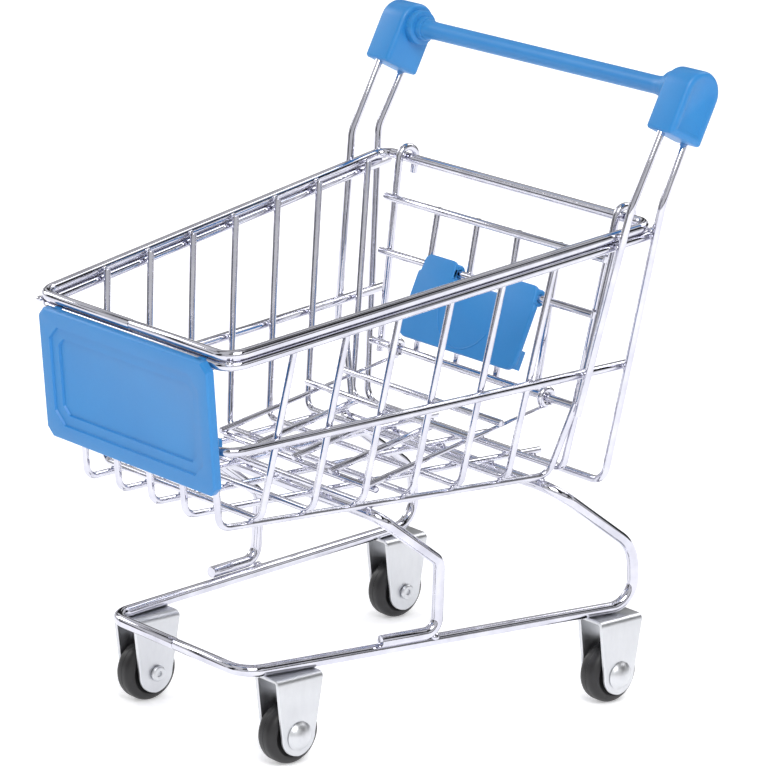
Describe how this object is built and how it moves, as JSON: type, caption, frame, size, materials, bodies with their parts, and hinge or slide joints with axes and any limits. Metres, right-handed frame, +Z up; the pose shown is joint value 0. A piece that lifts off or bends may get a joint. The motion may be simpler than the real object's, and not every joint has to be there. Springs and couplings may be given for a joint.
{
  "type": "shopping cart",
  "caption": "Desk-size wire shopping cart in bright chrome with a blue handle and sign, four fixed casters, a hinged rear gate, a fold-down seat back and a seat flap.",
  "frame": {"origin": "on the floor, under the middle of the whole cart", "axes": "+Z up; the front with the sign faces -Y and the handle is at +Y; +X is to the right when looking along +Y"},
  "size_m": [0.0912, 0.111, 0.131],
  "materials": {
    "chrome_wire": "bright plated",
    "blue_plastic": "semi-gloss moulded",
    "caster_zinc": "satin zinc plate",
    "wheel_black": "satin"
  },
  "bodies": {
    "root": {"base_frame": "chrome_wire", "front_support": "chrome_wire", "top_rim": "chrome_wire", "second_rim": "chrome_wire", "middle_rail": "chrome_wire", "cross_wire_1": "chrome_wire", "cross_wire_2": "chrome_wire", "cross_wire_3": "chrome_wire", "cross_wire_4": "chrome_wire", "cross_wire_5": "chrome_wire", "cross_wire_6": "chrome_wire", "cross_wire_7": "chrome_wire", "long_wire_1": "chrome_wire", "long_wire_2": "chrome_wire", "long_wire_3": "chrome_wire", "long_wire_4": "chrome_wire", "long_wire_5": "chrome_wire", "handle_wire_left": "chrome_wire", "handle_wire_right": "chrome_wire", "handle_wire_rear": "chrome_wire", "handle_bar": "blue_plastic", "handle_cap_left": "blue_plastic", "handle_cap_right": "blue_plastic", "front_sign": "blue_plastic", "bracket_front_left": "caster_zinc", "axle_rivet_front_left": "caster_zinc", "bracket_front_right": "caster_zinc", "axle_rivet_front_right": "caster_zinc", "bracket_rear_left": "caster_zinc", "axle_rivet_rear_left": "caster_zinc", "bracket_rear_right": "caster_zinc", "axle_rivet_rear_right": "caster_zinc"},
    "front_left_wheel": {"wheel_front_left": "wheel_black"},
    "front_right_wheel": {"wheel_front_right": "wheel_black"},
    "rear_left_wheel": {"wheel_rear_left": "wheel_black"},
    "rear_right_wheel": {"wheel_rear_right": "wheel_black"},
    "gate": {"gate_side_left": "chrome_wire", "gate_side_right": "chrome_wire", "gate_upright_1": "chrome_wire", "gate_upright_2": "chrome_wire", "gate_upright_3": "chrome_wire", "gate_upright_4": "chrome_wire", "gate_cross_upper": "chrome_wire", "gate_cross_middle": "chrome_wire"},
    "seat_hinge": {"seat_hinge_rod": "chrome_wire"},
    "seat_back": {"seat_wire_1": "chrome_wire", "seat_wire_2": "chrome_wire", "seat_wire_3": "chrome_wire", "seat_wire_4": "chrome_wire", "seat_wire_5": "chrome_wire", "seat_cross_1": "chrome_wire", "seat_cross_2": "chrome_wire", "seat_cross_3": "chrome_wire"},
    "seat_flap": {"seat_flap": "blue_plastic"}
  },
  "joints": [
    {"name": "front_left_roll", "type": "hinge", "parent": "root", "child": "front_left_wheel", "pos_m": [-0.0224, -0.03032, 0.00625], "axis": [1, 0, 0], "continuous": true},
    {"name": "front_right_roll", "type": "hinge", "parent": "root", "child": "front_right_wheel", "pos_m": [0.0224, -0.03032, 0.00625], "axis": [1, 0, 0], "continuous": true},
    {"name": "rear_left_roll", "type": "hinge", "parent": "root", "child": "rear_left_wheel", "pos_m": [-0.033, 0.04478, 0.00625], "axis": [1, 0, 0], "continuous": true},
    {"name": "rear_right_roll", "type": "hinge", "parent": "root", "child": "rear_right_wheel", "pos_m": [0.033, 0.04478, 0.00625], "axis": [1, 0, 0], "continuous": true},
    {"name": "gate_swing", "type": "hinge", "parent": "root", "child": "gate", "pos_m": [0, 0.04388, 0.1004], "axis": [-1, 0, 0], "range_deg": [0, 60]},
    {"name": "seat_hinge_turn", "type": "hinge", "parent": "gate", "child": "seat_hinge", "pos_m": [0, 0.03402, 0.06308], "axis": [-1, 0, 0], "range_deg": [-60, 0]},
    {"name": "seat_back_lift", "type": "hinge", "parent": "seat_hinge", "child": "seat_back", "pos_m": [0, 0.03402, 0.06308], "axis": [-1, 0, 0], "range_deg": [0, 45]},
    {"name": "seat_flap_lift", "type": "hinge", "parent": "gate", "child": "seat_flap", "pos_m": [0, 0.03695, 0.08155], "axis": [-1, 0, 0], "range_deg": [0, 90]}
  ],
  "couplings": [
    {"joint": "seat_hinge_turn", "follows": "gate_swing", "ratio": -1}
  ]
}
